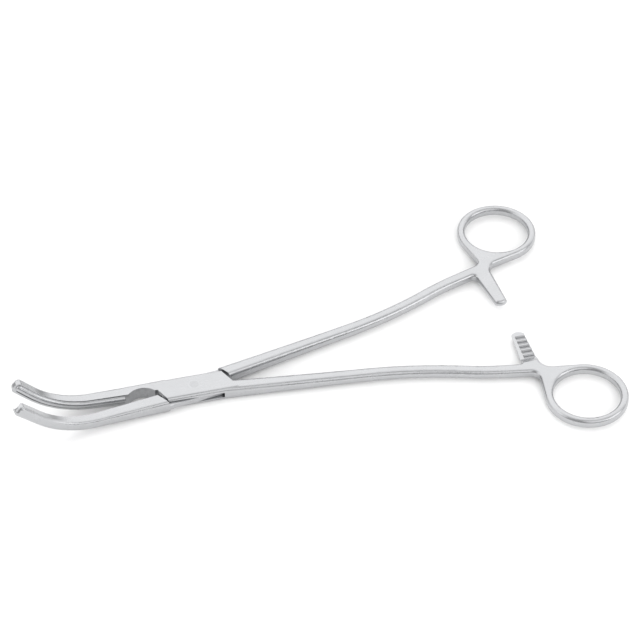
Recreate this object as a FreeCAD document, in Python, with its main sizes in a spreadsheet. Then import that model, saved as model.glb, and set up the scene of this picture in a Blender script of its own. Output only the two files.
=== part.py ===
import FreeCAD, Part
import math
import os
import Sketcher
from FreeCAD import Vector

# Ring-handled box-lock forceps in the pose of the photograph, jaws a little open.
# Frame: the origin is on the pivot axis in the underside plane of the lock, +X points to the
# finger rings along the line midway between the two halves, +Z is up. Millimetres, degrees.
# Each half is drawn closed, with its inner side on the XZ plane, and turned by its Placement.

# Driving sizes
SIZES = {
    # Lock
    "opening_angle": 7.7,
    "half_gap": 0.1,
    "jaw_toe_angle": 1.2,
    "lock_gap": 0.42,
    "lock_thickness": 6.0,
    "lock_half_width": 5.95,
    "lock_edge_round": 1.6,
    "cheek_angle": 27.0,
    "cheek_distance": 12.95,
    "shoulder_angle": 29.0,
    "shoulder_distance": 13.75,
    "slot_height": 2.4,
    "slot_radius": 12.7,
    "plate_face_clearance": 0.05,
    "plate_end_clearance": 0.15,
    "plate_root_share": 0.25,
    "pin_diameter": 4.0,
    "pin_running_clearance": 0.03,
    # Shank
    "shank_start_x": 6.0,
    "shank_start_y": 2.46,
    "shank_angle": 5.65,
    "shank_root_width": 6.1,
    "shank_root_round": 1.6,
    "bend_run": 57.0,
    "bend_width": 5.1,
    "bend_thickness": 4.5,
    "bend_round": 1.8,
    "bend_radius": 200.0,
    "end_run": 3.5,
    # Handle plate: ring, web and ratchet root
    "junction_x": 126.0,
    "junction_rise": 6.31,
    "junction_angle": 10.0,
    "junction_width": 5.0,
    "handle_thickness": 4.2,
    "handle_round": 1.55,
    "ring_offset_x": 25.3,
    "ring_offset_y": 20.56,
    "ring_outer_radius": 16.75,
    "ring_wire_width": 3.3,
    "web_back_angle": 97.0,
    "web_front_angle": 8.0,
    "web_back_round": 3.5,
    "web_front_round": 5.0,
    # Ratchet
    "ratchet_offset_x": 9.0,
    "ratchet_root_width": 7.0,
    "ratchet_root_depth": 1.6,
    "ratchet_root_round": 1.6,
    "ratchet_tip_width": 5.3,
    "ratchet_tip_radius": 3.5,
    "ratchet_overlap": -0.5,
    "ratchet_face_gap": 0.03,
    "milling_ramp": 3.9,
    "tooth_pitch": 2.78,
    "tooth_depth": 0.6,
    "tooth_count": 5,
    "tooth_first": 1.57,
    "tooth_mouth_share": 0.85,
    "tooth_steep_share": 0.15,
    "tooth_margin": 1.0,
    # Jaws
    "jaw_start_x": 11.0,
    "jaw_bend_x": 41.5,
    "jaw_rise": 0.7,
    "jaw_bend_radius": 34.0,
    "jaw_tip_angle": 45.3,
    "jaw_tip_x": 71.1,
    "prong_reach": 2.3,
    "jaw_root_depth": 6.0,
    "jaw_root_round": 1.6,
    "jaw_bend_depth": 4.5,
    "jaw_bend_height": 4.85,
    "jaw_bend_low_round": 1.9,
    "jaw_bend_high_round": 1.2,
    "jaw_tip_depth": 3.6,
    "jaw_tip_height": 5.0,
    "jaw_tip_low_round": 1.8,
    "jaw_tip_high_round": 1.2,
    "jaw_end_round": 1.7,
    "relief_x": 21.25,
    "relief_radius": 7.0,
    "relief_depth": 3.0,
    "rib_start_x": 28.0,
    "rib_end_margin": 2.4,
    "rib_lift": 0.45,
    "rib_width": 3.0,
    "rib_height": 1.15,
    "rib_seat": 0.7,
    "rib_clearance": 0.15,
    "channel_width": 0.55,
    "channel_depth": 0.5,
}

ORIGIN = (-1, 1)
MIDDLE = "sizes.lock_thickness / 2"
PLATE_THICKNESS = "(sizes.slot_height - 2 * sizes.plate_face_clearance)"
JAW_SLOPE = "atan(sizes.jaw_rise / (sizes.jaw_bend_x - sizes.jaw_start_x))"
NEARLY = 1e-3

# Sizes that follow from others: the bend keeps its length before the handle, the handle
# its step beside the shank's line, and the ratchet's milled ramp ends where the bar
# leaves the handle
FOLLOWING = {
    "bend_start_x": "=junction_x - bend_run",
    "junction_y": "=shank_start_y + (junction_x - shank_start_x) * tan(shank_angle * 1 deg)"
                  " + junction_rise",
    "milling_root": "=junction_y - ratchet_root_depth - milling_ramp",
}

doc = FreeCAD.newDocument("forceps")
sheet = doc.addObject("Spreadsheet::Sheet", "sizes")
for row, (alias, value) in enumerate((SIZES | FOLLOWING).items(), start=1):
    sheet.set(f"A{row}", alias)
    sheet.set(f"B{row}", str(value))
    sheet.setAlias(f"B{row}", alias)
doc.recompute()


def size(alias):
    """Value of one driving size."""
    return float(getattr(sheet, alias))


def point(x, y):
    """Point in a sketch."""
    return Vector(x, y, 0)


def arc(centre, radius, start, end):
    """Arc about a centre, counter-clockwise between two angles in degrees."""
    circle = Part.Circle(centre, Vector(0, 0, 1), radius)
    return Part.ArcOfCircle(circle, math.radians(start), math.radians(end))


def new_body(label):
    """Empty body for one piece."""
    body = doc.addObject("PartDesign::Body", label)
    body.Label = label
    body.AllowCompound = True
    return body


def new_sketch(body, name, role, offset=None):
    """Sketch on one of the body's own origin planes, moved by an offset expression."""
    sketch = body.newObject("Sketcher::SketchObject", f"{body.Name}_{name}")
    plane = next(item for item in body.Origin.OriginFeatures if item.Role == role)
    sketch.AttachmentSupport = [(plane, "")]
    sketch.MapMode = "FlatFace"
    if offset:
        sketch.setExpression("AttachmentOffset", offset)
    return sketch


def new_feature(body, kind, name, **values):
    """Feature of a body with its properties set."""
    feature = body.newObject(f"PartDesign::{kind}", f"{body.Name}_{name}")
    for key, value in values.items():
        setattr(feature, key, value)
    return feature


def dimension(sketch, name, expression, kind, *where):
    """Named dimension of a sketch, bound to the sheet."""
    index = sketch.addConstraint(Sketcher.Constraint(kind, *where))
    sketch.renameConstraint(index, name)
    sketch.setExpression(f"Constraints.{name}", expression)


def constrain(sketch, *rows):
    """Geometric constraints, one for each row."""
    for row in rows:
        sketch.addConstraint(Sketcher.Constraint(*row))


def finish(feature, body):
    """Recompute the body with the feature as its tip, which must have worked."""
    body.Tip = feature
    doc.recompute()
    if not feature.isValid() or feature.Shape.isNull():
        raise RuntimeError(f"{feature.Name}: {feature.getStatusString()}")
    return feature


# Sections and outlines that both halves share
def bar_section(sketch, width, height, corner):
    """Rounded rectangle about the sketch's origin."""
    across = size_of(width) / 2
    half = size_of(height) / 2
    radius = size_of(corner)
    flat = across - radius
    low = radius - half
    sketch.addGeometry(Part.LineSegment(point(-flat, -half), point(flat, -half)))
    sketch.addGeometry(arc(point(flat, low), radius, 270, 360))
    sketch.addGeometry(Part.LineSegment(point(across, low), point(across, -low)))
    sketch.addGeometry(arc(point(flat, -low), radius, 0, 90))
    sketch.addGeometry(Part.LineSegment(point(flat, half), point(-flat, half)))
    sketch.addGeometry(arc(point(-flat, -low), radius, 90, 180))
    sketch.addGeometry(Part.LineSegment(point(-across, -low), point(-across, low)))
    sketch.addGeometry(arc(point(-flat, low), radius, 180, 270))
    for index in range(8):
        constrain(sketch, ("Tangent", index, 2, (index + 1) % 8, 1))
    constrain(sketch, ("Horizontal", 0), ("Vertical", 2), ("Horizontal", 4), ("Vertical", 6))
    for index, name in ((1, "first"), (3, "second"), (5, "third"), (7, "fourth")):
        dimension(sketch, name, corner, "Radius", index, radius)
    dimension(sketch, "below", f"({height}) / 2", "DistanceY", 0, 1, *ORIGIN, half)
    dimension(sketch, "above", f"({height}) / 2", "DistanceY", *ORIGIN, 4, 1, half)
    dimension(sketch, "right", f"({width}) / 2", "DistanceX", *ORIGIN, 2, 1, across)
    dimension(sketch, "left", f"({width}) / 2", "DistanceX", 6, 1, *ORIGIN, across)


def jaw_section(sketch, depth, height, first_corner, second_corner):
    """Section of a jaw: square edges at the inner face, a rounded back."""
    near = size("half_gap")
    far = size_of(depth)
    half = size_of(height) / 2
    low = size_of(first_corner)
    high = size_of(second_corner)
    sketch.addGeometry(Part.LineSegment(point(near, -half), point(far - low, -half)))
    sketch.addGeometry(arc(point(far - low, low - half), low, 270, 360))
    sketch.addGeometry(Part.LineSegment(point(far, low - half), point(far, half - high)))
    sketch.addGeometry(arc(point(far - high, half - high), high, 0, 90))
    sketch.addGeometry(Part.LineSegment(point(far - high, half), point(near, half)))
    sketch.addGeometry(Part.LineSegment(point(near, half), point(near, -half)))
    for index in range(4):
        constrain(sketch, ("Tangent", index, 2, index + 1, 1))
    constrain(sketch, ("Coincident", 4, 2, 5, 1), ("Coincident", 5, 2, 0, 1),
              ("Horizontal", 0), ("Vertical", 2), ("Horizontal", 4), ("Vertical", 5))
    dimension(sketch, "first_round", first_corner, "Radius", 1, low)
    dimension(sketch, "second_round", second_corner, "Radius", 3, high)
    dimension(sketch, "below", f"({height}) / 2", "DistanceY", 0, 1, *ORIGIN, half)
    dimension(sketch, "above", f"({height}) / 2", "DistanceY", *ORIGIN, 4, 2, half)
    dimension(sketch, "gap", "sizes.half_gap", "DistanceX", *ORIGIN, 0, 1, near)
    dimension(sketch, "depth", depth, "DistanceX", *ORIGIN, 2, 1, far)


def size_of(expression):
    """Value of a sheet expression, for the first drawing of a sketch."""
    probe = sheet.evalExpression(expression)
    return float(getattr(probe, "Value", probe))


def slanted_block(sketch, half_width, angle, distance):
    """Parallelogram about the pivot: two straight walls and two slanted ends."""
    half = size_of(half_width)
    slope = math.radians(size_of(angle))
    reach = size_of(distance)
    near = (reach - half * math.sin(slope)) / math.cos(slope)
    far = (reach + half * math.sin(slope)) / math.cos(slope)
    corners = [point(near, half), point(-far, half), point(-near, -half), point(far, -half)]
    for index in range(4):
        sketch.addGeometry(Part.LineSegment(corners[index], corners[(index + 1) % 4]))
    for index in range(4):
        constrain(sketch, ("Coincident", index, 2, (index + 1) % 4, 1))
    constrain(sketch, ("Horizontal", 0), ("Horizontal", 2), ("Parallel", 1, 3))
    dimension(sketch, "upper", half_width, "DistanceY", *ORIGIN, 0, 1, half)
    dimension(sketch, "lower", half_width, "DistanceY", 2, 1, *ORIGIN, half)
    dimension(sketch, "rear", distance, "Distance", *ORIGIN, 3, reach)
    dimension(sketch, "front", distance, "Distance", *ORIGIN, 1, reach)
    dimension(sketch, "slant", f"90 deg + {angle} * 1 deg", "Angle", -1, 1, 3, 1,
              math.pi / 2 + slope)


# Handle: ring plate, shank and ratchet bar, drawn for the half whose handle is at +Y
def turned(side, base, spin=""):
    """Placement expression for the handle at +Y (side 1), or turned over to -Y (side -1)."""
    x, y, z = base
    flip = 0 if side > 0 else 180
    height = f"{MIDDLE} + ({side}) * ({z})"
    return (f"placement(vector({x}; ({side}) * ({y}); {height}); "
            f"rotation(vector(1; 0; 0); {flip}){spin})")


def handle_plate(body, side):
    """Flat forged end of the handle: ring, web and ratchet bar in one outline."""
    sketch = new_sketch(body, "handle_outline", "XY_Plane", turned(side, ("0", "0", "0")))
    lean = size("junction_angle")
    width = size("junction_width")
    junction = point(size("junction_x"), size("junction_y"))
    outer = junction + heading(lean + 90) * (width / 2)
    inner = junction - heading(lean + 90) * (width / 2)
    ring = junction + point(size("ring_offset_x"), size("ring_offset_y"))
    radius = size("ring_outer_radius")
    back = size("web_back_angle")
    front = size("web_front_angle")
    back_touch = ring + heading(back + 90) * radius
    front_touch = ring + heading(front - 90) * radius
    middle = junction.x + size("ratchet_offset_x")
    root = size("ratchet_root_width") / 2
    tip = size("ratchet_tip_width") / 2
    low = junction.y - size("ratchet_root_depth")
    end = size("ratchet_overlap")
    taper = math.degrees(math.atan2(root - tip, low + end))
    tip_left = point(middle - tip, -end)
    tip_right = point(middle + tip, -end)
    tip_radius = size("ratchet_tip_radius")
    spread = math.degrees(math.acos(tip / tip_radius))
    tip_centre = point(middle, tip_radius * math.sin(math.radians(spread)) - end)

    back_corner = crossing(outer, lean, back_touch, back)
    root_corner = crossing(inner, lean, tip_left, 90 + taper)
    front_corner = crossing(tip_right, 90 - taper, front_touch, front)
    back_start, back_end, back_arc = rounded_corner(
        back_corner, back + 180, lean + 180, size("web_back_round"))
    root_start, root_end, root_arc = rounded_corner(
        root_corner, lean, taper - 90, size("ratchet_root_round"))
    front_start, front_end, front_arc = rounded_corner(
        front_corner, 90 - taper, front, size("web_front_round"))
    for shape in (arc(ring, radius, front - 90, back + 90),
                  Part.LineSegment(back_touch, back_start),
                  back_arc,
                  Part.LineSegment(back_end, outer),
                  Part.LineSegment(outer, inner),
                  Part.LineSegment(inner, root_start),
                  root_arc,
                  Part.LineSegment(root_end, tip_left),
                  arc(tip_centre, tip_radius, 180 + spread, 360 - spread),
                  Part.LineSegment(tip_right, front_start),
                  front_arc,
                  Part.LineSegment(front_end, front_touch),
                  Part.Circle(ring, Vector(0, 0, 1), radius - size("ring_wire_width"))):
        sketch.addGeometry(shape)
    constrain(sketch,
              ("Tangent", 0, 2, 1, 1), ("Tangent", 1, 2, 2, 2), ("Tangent", 2, 1, 3, 1),
              ("Coincident", 3, 2, 4, 1), ("Coincident", 4, 2, 5, 1),
              ("Tangent", 5, 2, 6, 2), ("Tangent", 6, 1, 7, 1),
              ("Coincident", 7, 2, 8, 1), ("Coincident", 8, 2, 9, 1),
              ("Tangent", 9, 2, 10, 2), ("Tangent", 10, 1, 11, 1), ("Tangent", 11, 2, 0, 1),
              ("Coincident", 12, 3, 0, 3), ("Perpendicular", 4, 5), ("Parallel", 3, 5))
    narrowing = ("atan((sizes.ratchet_root_width - sizes.ratchet_tip_width) / 2"
                 " / (sizes.junction_y - sizes.ratchet_root_depth + sizes.ratchet_overlap))")
    centre = "sizes.junction_x + sizes.ratchet_offset_x"
    dimension(sketch, "ring_x", "sizes.junction_x + sizes.ring_offset_x",
              "DistanceX", *ORIGIN, 0, 3, ring.x)
    dimension(sketch, "ring_y", "sizes.junction_y + sizes.ring_offset_y",
              "DistanceY", *ORIGIN, 0, 3, ring.y)
    dimension(sketch, "ring_outer", "sizes.ring_outer_radius", "Radius", 0, radius)
    dimension(sketch, "ring_hole", "sizes.ring_outer_radius - sizes.ring_wire_width",
              "Radius", 12, radius - size("ring_wire_width"))
    dimension(sketch, "back_round", "sizes.web_back_round", "Radius", 2, size("web_back_round"))
    dimension(sketch, "root_round", "sizes.ratchet_root_round", "Radius", 6,
              size("ratchet_root_round"))
    dimension(sketch, "front_round", "sizes.web_front_round", "Radius", 10,
              size("web_front_round"))
    dimension(sketch, "tip_round", "sizes.ratchet_tip_radius", "Radius", 8, tip_radius)
    dimension(sketch, "back_angle", "(sizes.web_back_angle - 180) * 1 deg",
              "Angle", -1, 1, 1, 1, math.radians(back - 180))
    dimension(sketch, "front_angle", "sizes.web_front_angle * 1 deg",
              "Angle", -1, 1, 11, 1, math.radians(front))
    dimension(sketch, "lean", "sizes.junction_angle * 1 deg", "Angle", -1, 1, 5, 1,
              math.radians(lean))
    dimension(sketch, "left_taper", f"{narrowing} - 90 deg", "Angle", -1, 1, 7, 1,
              math.radians(taper - 90))
    dimension(sketch, "right_taper", f"90 deg - {narrowing}", "Angle", -1, 1, 9, 1,
              math.radians(90 - taper))
    dimension(sketch, "width", "sizes.junction_width", "Distance", 4, width)
    dimension(sketch, "inner_x",
              "sizes.junction_x + sizes.junction_width / 2 * sin(sizes.junction_angle * 1 deg)",
              "DistanceX", *ORIGIN, 5, 1, inner.x)
    dimension(sketch, "inner_y",
              "sizes.junction_y - sizes.junction_width / 2 * cos(sizes.junction_angle * 1 deg)",
              "DistanceY", *ORIGIN, 5, 1, inner.y)
    dimension(sketch, "tip_x", f"{centre} - sizes.ratchet_tip_width / 2",
              "DistanceX", *ORIGIN, 8, 1, tip_left.x)
    dimension(sketch, "tip_width", "sizes.ratchet_tip_width", "DistanceX", 8, 1, 8, 2, 2 * tip)
    dimension(sketch, "tip_left", "sizes.ratchet_overlap", "DistanceY", 8, 1, *ORIGIN, end)
    dimension(sketch, "tip_right", "sizes.ratchet_overlap", "DistanceY", 8, 2, *ORIGIN, end)
    plate = new_feature(body, "Pad", "handle_plate", Profile=sketch, Midplane=True)
    plate.setExpression("Length", "sizes.handle_thickness")
    finish(plate, body)
    names = []
    for number, edge in enumerate(plate.Shape.Edges, start=1):
        spot = side_point(edge, side)
        level = abs(spot.z - size("lock_thickness") / 2)
        on_face = abs(level - size("handle_thickness") / 2) < NEARLY
        flat = on_face and edge.BoundBox.ZLength < NEARLY
        end_face = abs((point(spot.x, spot.y) - junction).dot(heading(lean))) < NEARLY
        if flat and not end_face:
            names.append(f"Edge{number}")
    rounding = new_feature(body, "Fillet", "handle_rounding", Base=(plate, names))
    rounding.setExpression("Radius", "sizes.handle_round")
    return finish(rounding, body)


def rounded_corner(corner, incoming, outgoing, radius):
    """Start, end and arc of a round where one heading turns clockwise to another."""
    turn = (incoming - outgoing) % 360
    reach = radius * math.tan(math.radians(turn) / 2)
    start = corner - heading(incoming) * reach
    end = corner + heading(outgoing) * reach
    centre = start + heading(incoming - 90) * radius
    return start, end, arc(centre, radius, incoming + 90 - turn, incoming + 90)


def side_point(edge, side):
    """Middle of an edge, as if its handle were the one at +Y."""
    middle = edge.valueAt((edge.FirstParameter + edge.LastParameter) / 2)
    return Vector(middle.x, side * middle.y, middle.z)


def crossing(start, angle, other, other_angle):
    """Crossing of two lines, each given by a point and a heading."""
    gap = other - start
    away = heading(other_angle + 90)
    return start + heading(angle) * (gap.dot(away) / heading(angle).dot(away))


def heading(angle):
    """Unit vector at an angle in degrees from +X."""
    return point(math.cos(math.radians(angle)), math.sin(math.radians(angle)))


def shank(body, side):
    """Long arm from the lock to the handle plate, swept along a straight and two arcs."""
    path = new_sketch(body, "shank_path", "XY_Plane", turned(side, ("0", "0", "0")))
    start = point(size("shank_start_x"), size("shank_start_y"))
    lean = size("shank_angle")
    end_lean = size("junction_angle")
    out_radius = size("bend_radius")
    run = size("bend_start_x") - start.x
    bend = point(start.x + run, start.y + run * math.tan(math.radians(lean)))
    junction = point(size("junction_x"), size("junction_y"))
    across = out_radius * math.cos(math.radians(end_lean - lean))
    across -= (junction - bend).dot(heading(end_lean + 90))
    along = (junction - bend).dot(heading(end_lean)) - size("end_run")
    along -= out_radius * math.sin(math.radians(end_lean - lean))
    back_radius = (across ** 2 + along ** 2 - out_radius ** 2) / (2 * (out_radius - across))
    peak = end_lean + math.degrees(math.atan2(along, across + back_radius))
    out_centre = bend + heading(lean + 90) * out_radius
    turn = out_centre + heading(peak - 90) * out_radius
    back_centre = turn + heading(peak - 90) * back_radius
    straight = back_centre + heading(end_lean + 90) * back_radius
    path.addGeometry(Part.LineSegment(start, bend))
    path.addGeometry(arc(out_centre, out_radius, lean - 90, peak - 90))
    path.addGeometry(arc(back_centre, back_radius, end_lean + 90, peak + 90))
    path.addGeometry(Part.LineSegment(straight, junction))
    constrain(path, ("Tangent", 0, 2, 1, 1), ("Tangent", 1, 2, 2, 2), ("Tangent", 2, 1, 3, 1))
    dimension(path, "start_x", "sizes.shank_start_x", "DistanceX", *ORIGIN, 0, 1, start.x)
    dimension(path, "start_y", "sizes.shank_start_y", "DistanceY", *ORIGIN, 0, 1, start.y)
    dimension(path, "lean", "sizes.shank_angle * 1 deg", "Angle", -1, 1, 0, 1,
              math.radians(lean))
    dimension(path, "bend_x", "sizes.bend_start_x", "DistanceX", *ORIGIN, 0, 2, bend.x)
    dimension(path, "bend_radius", "sizes.bend_radius", "Radius", 1, out_radius)
    dimension(path, "end_run", "sizes.end_run", "Distance", 3, size("end_run"))
    dimension(path, "end_lean", "sizes.junction_angle * 1 deg", "Angle", -1, 1, 3, 1,
              math.radians(end_lean))
    dimension(path, "end_x", "sizes.junction_x", "DistanceX", *ORIGIN, 3, 2, junction.x)
    dimension(path, "end_y", "sizes.junction_y", "DistanceY", *ORIGIN, 3, 2, junction.y)

    bend_y = ("sizes.shank_start_y + (sizes.bend_start_x - sizes.shank_start_x)"
              " * tan(sizes.shank_angle * 1 deg)")
    stations = (
        ("root", ("sizes.shank_start_x", "sizes.shank_start_y"), "sizes.shank_angle",
         "sizes.shank_root_width", "sizes.lock_thickness", "sizes.shank_root_round"),
        ("bend", ("sizes.bend_start_x", bend_y), "sizes.shank_angle",
         "sizes.bend_width", "sizes.bend_thickness", "sizes.bend_round"),
        ("end", ("sizes.junction_x", "sizes.junction_y"), "sizes.junction_angle",
         "sizes.junction_width", "sizes.handle_thickness", "sizes.handle_round"),
    )
    sections = []
    for name, (x, y), angle, width, height, corner in stations:
        spin = (f" * rotation(vector(0; 0; 1); {angle} - 90)"
                " * rotation(vector(1; 0; 0); 90)")
        sketch = new_sketch(body, f"shank_{name}", "XY_Plane", turned(side, (x, y, "0"), spin))
        bar_section(sketch, width, height, corner)
        sections.append(sketch)
    doc.recompute()
    edges = [f"Edge{number}" for number in range(1, len(path.Shape.Edges) + 1)]
    arm = new_feature(body, "AdditivePipe", "shank", Profile=sections[0],
                      Spine=(path, edges), Sections=sections[1:],
                      Transformation="Multisection")
    return finish(arm, body)


def ratchet(body, side):
    """Ratchet: the bar is milled to half its thickness and its inner face gets saw teeth."""
    centre = "sizes.junction_x + sizes.ratchet_offset_x"
    reach = "(sizes.ratchet_root_width / 2 + sizes.ratchet_root_round)"
    sketch = new_sketch(body, "milling", "YZ_Plane", across_bar(side, f"{centre} - {reach}"))
    beyond = size("ratchet_tip_radius")
    gap = size("ratchet_face_gap")
    high = size("handle_thickness")
    low = size("milling_root")
    run = size("milling_ramp") * high / (high / 2 + gap)
    corners = [point(-beyond, gap), point(low, gap),
               point(low + run, gap - high), point(-beyond, gap - high)]
    for index in range(4):
        sketch.addGeometry(Part.LineSegment(corners[index], corners[(index + 1) % 4]))
    for index in range(4):
        constrain(sketch, ("Coincident", index, 2, (index + 1) % 4, 1))
    constrain(sketch, ("Horizontal", 0), ("Horizontal", 2), ("Vertical", 3))
    dimension(sketch, "gap", "sizes.ratchet_face_gap", "DistanceY", *ORIGIN, 0, 1, gap)
    dimension(sketch, "beyond", "sizes.ratchet_tip_radius", "DistanceX", 0, 1, *ORIGIN, beyond)
    dimension(sketch, "root", "sizes.milling_root", "DistanceX", *ORIGIN, 0, 2, low)
    dimension(sketch, "height", "sizes.handle_thickness", "DistanceY", 1, 2, 0, 2, high)
    dimension(sketch, "run", "sizes.milling_ramp * sizes.handle_thickness"
              " / (sizes.handle_thickness / 2 + sizes.ratchet_face_gap)",
              "DistanceX", 0, 2, 1, 2, run)
    milling = new_feature(body, "Pocket", "ratchet_milling", Profile=sketch, Reversed=True)
    milling.setExpression("Length", f"2 * {reach}")
    finish(milling, body)

    cut = new_sketch(body, "tooth", "YZ_Plane", across_bar(
        side, f"{centre} - sizes.ratchet_tip_width / 2 + sizes.tooth_margin"))
    pitch = size("tooth_pitch")
    first = size("tooth_first")
    level = size("ratchet_face_gap")
    mouth = pitch * size("tooth_mouth_share")
    steep = pitch * size("tooth_steep_share")
    corners = [point(first, level), point(first + mouth, level),
               point(first + steep, level + size("tooth_depth"))]
    for index in range(3):
        cut.addGeometry(Part.LineSegment(corners[index], corners[(index + 1) % 3]))
    for index in range(3):
        constrain(cut, ("Coincident", index, 2, (index + 1) % 3, 1))
    constrain(cut, ("Horizontal", 0))
    dimension(cut, "level", "sizes.ratchet_face_gap", "DistanceY", *ORIGIN, 0, 1, level)
    dimension(cut, "first", "sizes.tooth_first", "DistanceX", *ORIGIN, 0, 1, first)
    dimension(cut, "mouth", "sizes.tooth_pitch * sizes.tooth_mouth_share",
              "DistanceX", 0, 1, 0, 2, mouth)
    dimension(cut, "steep", "sizes.tooth_pitch * sizes.tooth_steep_share",
              "DistanceX", 0, 1, 2, 1, steep)
    dimension(cut, "depth", "sizes.tooth_depth", "DistanceY", 0, 1, 2, 1, size("tooth_depth"))
    groove = new_feature(body, "Pocket", "tooth_groove", Profile=cut, Reversed=True)
    groove.setExpression("Length", "sizes.ratchet_root_width")
    finish(groove, body)
    row = new_feature(body, "LinearPattern", "tooth_row", Originals=[groove])
    row.Direction = (cut, ["H_Axis"])
    row.setExpression("Length", "sizes.tooth_pitch * (sizes.tooth_count - 1)")
    row.setExpression("Occurrences", "sizes.tooth_count")
    return finish(row, body)


def across_bar(side, x):
    """Upright plane across the ratchet bar, at a distance x from the pivot."""
    flip = 0 if side > 0 else 180
    return f"placement(vector(0; {MIDDLE}; {x}); rotation(vector(0; 0; 1); {flip}))"


# Jaws: drawn for the half whose jaw is at +Y (side 1), or mirrored to -Y (side -1)
def jaw_path(body, name, side, start, margin="0"):
    """Centre line of a jaw in an upright plane: a straight, an upward bend, a straight tip."""
    toe = f"({-side}) * sizes.jaw_toe_angle"
    path = new_sketch(body, name, "XZ_Plane", "placement(vector(0; 0; 0); "
                      f"rotation(vector(0; 1; 0); {toe}))")
    root = size("jaw_start_x")
    bend_x = size("jaw_bend_x")
    rise = size("jaw_rise")
    middle = size("lock_thickness") / 2
    slope = math.degrees(math.atan2(rise, bend_x - root))
    tip_lean = size("jaw_tip_angle")
    radius = size("jaw_bend_radius")
    first = point(-size_of(start), middle + rise * (size_of(start) - root) / (bend_x - root))
    bend = point(-bend_x, middle + rise)
    centre = bend + heading(90 - slope) * radius
    straight = centre + heading(270 - tip_lean) * radius
    end_x = size_of(jaw_reach(side)) - size_of(margin) * math.cos(math.radians(tip_lean))
    run = (end_x + straight.x) / math.cos(math.radians(tip_lean))
    tip = straight + heading(180 - tip_lean) * run
    path.addGeometry(Part.LineSegment(first, bend))
    path.addGeometry(arc(centre, radius, 270 - tip_lean, 270 - slope))
    path.addGeometry(Part.LineSegment(straight, tip))
    constrain(path, ("Tangent", 0, 2, 1, 2), ("Tangent", 1, 1, 2, 1))
    dimension(path, "start_x", start, "DistanceX", 0, 1, *ORIGIN, -first.x)
    dimension(path, "start_z", jaw_level(start), "DistanceY", *ORIGIN, 0, 1, first.y)
    dimension(path, "bend_x", "sizes.jaw_bend_x", "DistanceX", 0, 2, *ORIGIN, bend_x)
    dimension(path, "bend_z", f"{MIDDLE} + sizes.jaw_rise", "DistanceY", *ORIGIN, 0, 2, bend.y)
    dimension(path, "radius", "sizes.jaw_bend_radius", "Radius", 1, radius)
    dimension(path, "tip_lean", "(180 - sizes.jaw_tip_angle) * 1 deg",
              "Angle", -1, 1, 2, 1, math.radians(180 - tip_lean))
    shortening = f"({margin}) * cos(sizes.jaw_tip_angle * 1 deg)"
    dimension(path, "tip_x", f"{jaw_reach(side)} - {shortening}",
              "DistanceX", 2, 2, *ORIGIN, -tip.x)
    height = path.addConstraint(Sketcher.Constraint("DistanceY", *ORIGIN, 2, 2, tip.y))
    path.renameConstraint(height, "tip_z")
    path.setDriving(height, False)
    doc.recompute()
    return path


def jaw_reach(side):
    """Distance of a jaw's tip from the pivot: the pronged jaw is the longer one."""
    return "sizes.jaw_tip_x" if side > 0 else "(sizes.jaw_tip_x + sizes.prong_reach)"


def jaw_level(x):
    """Height of a jaw's centre line before its bend."""
    return (f"{MIDDLE} + sizes.jaw_rise * (({x}) - sizes.jaw_start_x)"
            " / (sizes.jaw_bend_x - sizes.jaw_start_x)")


def jaw_offset(side, x, z, lean, roll=0, lift="0"):
    """Plane across a jaw at a station of its centre line, or lifted from it."""
    toe = f"rotation(vector(0; 1; 0); ({-side}) * sizes.jaw_toe_angle)"
    return (f"placement(vector(0; 0; 0); {toe})"
            f" * placement(vector(0; {z}; -({x})); rotation(vector(1; 0; 0); {lean}))"
            f" * placement(vector(0; {lift}; 0); rotation(vector(0; 0; 1); {roll}))")


def jaw(body, side):
    """Jaw with a flat inner face and a rounded back, tapered to its tip."""
    path = jaw_path(body, "jaw_path", side, "sizes.jaw_start_x")
    stations = (
        ("root", "sizes.jaw_start_x", MIDDLE, JAW_SLOPE, "sizes.jaw_root_depth",
         "sizes.lock_thickness", "sizes.jaw_root_round", "sizes.jaw_root_round"),
        ("bend", "sizes.jaw_bend_x", f"{MIDDLE} + sizes.jaw_rise", JAW_SLOPE,
         "sizes.jaw_bend_depth", "sizes.jaw_bend_height",
         "sizes.jaw_bend_low_round", "sizes.jaw_bend_high_round"),
        ("tip", jaw_reach(side), f"{path.Name}.Constraints.tip_z", "sizes.jaw_tip_angle",
         "sizes.jaw_tip_depth", "sizes.jaw_tip_height",
         "sizes.jaw_tip_low_round", "sizes.jaw_tip_high_round"),
    )
    roll = 0 if side > 0 else 180
    sections = []
    for name, x, z, lean, depth, height, *corners in stations:
        sketch = new_sketch(body, f"jaw_{name}", "YZ_Plane", jaw_offset(side, x, z, lean, roll))
        jaw_section(sketch, depth, height, *corners[::side])
        sections.append(sketch)
    doc.recompute()
    edges = [f"Edge{number}" for number in range(1, len(path.Shape.Edges) + 1)]
    beak = new_feature(body, "AdditivePipe", "jaw", Profile=sections[0], Spine=(path, edges),
                       Sections=sections[1:], Transformation="Multisection")
    return finish(beak, body)


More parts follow.
